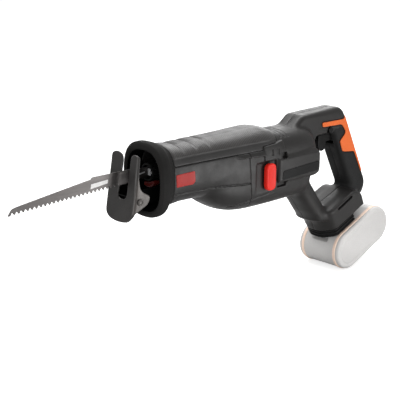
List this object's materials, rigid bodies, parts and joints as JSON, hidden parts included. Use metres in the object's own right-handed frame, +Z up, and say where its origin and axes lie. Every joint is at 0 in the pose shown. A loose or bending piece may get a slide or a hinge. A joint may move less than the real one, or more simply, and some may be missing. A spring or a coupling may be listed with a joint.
{
  "type": "reciprocating saw",
  "caption": "Cordless reciprocating saw: blade in a twist clamp, leaning slotted shoe, rubber-covered barrel, D handle with trigger and a slide-on battery underneath.",
  "frame": {"origin": "middle of the flat working face of the shoe, below the blade slot, on the saw's middle plane", "axes": "+X back along the plunger from the blade to the handle, +Y to the saw's right-hand side, +Z up"},
  "size_m": [0.6175, 0.0808, 0.2315],
  "materials": {
    "shell": "fine moulded texture, satin black",
    "dark": "smooth black plastic",
    "soft_cover": "soft-touch dark grey rubber",
    "red_plastic": "smooth red plastic",
    "orange_inlay": "soft orange rubber",
    "blade_steel": "ground saw steel, brownish grey",
    "shoe_steel": "blackened pressed steel, worn at the edges",
    "steel": "machined steel",
    "cast_aluminium": "as-cast aluminium",
    "brass": "machined brass",
    "motor_core": "laminated core with copper windings",
    "circuit_board": "green solder mask",
    "cells": "wrapped cylindrical cells in a holder",
    "pack_shell": "pale grey satin plastic, shown faded",
    "pack_ring": "pale peach plastic, shown faded",
    "lens": "clear moulded lens"
  },
  "bodies": {
    "housing": {"front_shell_left": "shell", "front_shell_right": "shell", "rear_shell_left": "shell", "rear_shell_right": "shell", "shell_screw_1": "steel", "shell_screw_2": "steel", "shell_screw_3": "steel", "shell_screw_4": "steel", "shell_screw_5": "steel", "shell_screw_6": "steel", "grip_cover": "soft_cover", "nose_collar": "shell", "cavity_plate": "dark", "led_lens": "lens", "shoe_pin": "steel", "shoe_bracket": "shoe_steel", "front_bush": "brass", "rear_bush": "brass", "plunger_seal": "dark", "upper_gear_bearing": "steel", "lower_gear_bearing": "steel", "gear_case": "cast_aluminium", "gear_case_lid": "cast_aluminium", "stator": "motor_core", "front_motor_bearing": "steel", "rear_motor_bearing": "steel", "switch_body": "dark", "controller": "circuit_board", "terminal_block": "dark", "battery_rail": "dark", "label_badge": "red_plastic", "name_plate": "dark", "accent_left": "orange_inlay", "accent_right": "orange_inlay"},
    "plunger": {"plunger": "steel", "yoke": "steel", "clamp_body": "steel", "clamp_pin": "steel", "blade": "blade_steel"},
    "clamp": {"clamp_collar": "dark", "clamp_lever": "red_plastic"},
    "shoe": {"shoe_plate": "shoe_steel"},
    "crank": {"crank_gear": "steel", "crank_pin": "steel", "crank_roller": "steel", "gear_shaft": "steel"},
    "rotor": {"motor_shaft": "steel", "drive_pinion": "steel", "rotor": "steel", "fan": "dark"},
    "trigger": {"trigger": "dark"},
    "lock_off": {"lock_off_button": "dark"},
    "mode_slider": {"mode_slider": "red_plastic"},
    "battery": {"battery_case": "pack_shell", "battery_ring_left": "pack_ring", "battery_ring_right": "pack_ring", "battery_cap_left": "pack_shell", "battery_cap_right": "pack_shell", "cell_pack": "cells"},
    "battery_button": {"battery_button": "pack_ring"}
  },
  "joints": [
    {"name": "plunger_slide", "type": "slide", "parent": "housing", "child": "plunger", "axis": [1, 0, 0], "range_m": [-0.0143, 0.0143]},
    {"name": "clamp_twist", "type": "hinge", "parent": "plunger", "child": "clamp", "pos_m": [0.04767, 0, 0.03766], "axis": [-1, 0, 0], "range_deg": [0, 60]},
    {"name": "shoe_pivot", "type": "hinge", "parent": "housing", "child": "shoe", "pos_m": [0.01067, 0, 0.01236], "axis": [0, 1, 0], "range_deg": [-12, 10]},
    {"name": "crank_spin", "type": "hinge", "parent": "housing", "child": "crank", "pos_m": [0.14967, 0, 0.02166], "axis": [0, 0, 1], "continuous": true},
    {"name": "rotor_spin", "type": "hinge", "parent": "housing", "child": "rotor", "pos_m": [0.23567, 0, 0.01266], "axis": [1, 0, 0], "continuous": true},
    {"name": "trigger_pull", "type": "slide", "parent": "housing", "child": "trigger", "axis": [1, 0, 0], "range_m": [0, 0.006]},
    {"name": "lock_off_push", "type": "slide", "parent": "housing", "child": "lock_off", "axis": [0, 1, 0], "range_m": [-0.0025, 0.0025]},
    {"name": "mode_slide", "type": "slide", "parent": "housing", "child": "mode_slider", "axis": [-1, 0, 0], "range_m": [0, 0.011]},
    {"name": "battery_slide", "type": "slide", "parent": "housing", "child": "battery", "axis": [0.9216, 0, 0.3882], "range_m": [0, 0.075]},
    {"name": "battery_release", "type": "slide", "parent": "battery", "child": "battery_button", "axis": [-0.9216, 0, -0.3882], "range_m": [0, 0.0025]}
  ],
  "couplings": [
    {"joint": "rotor_spin", "follows": "crank_spin", "ratio": -5}
  ]
}
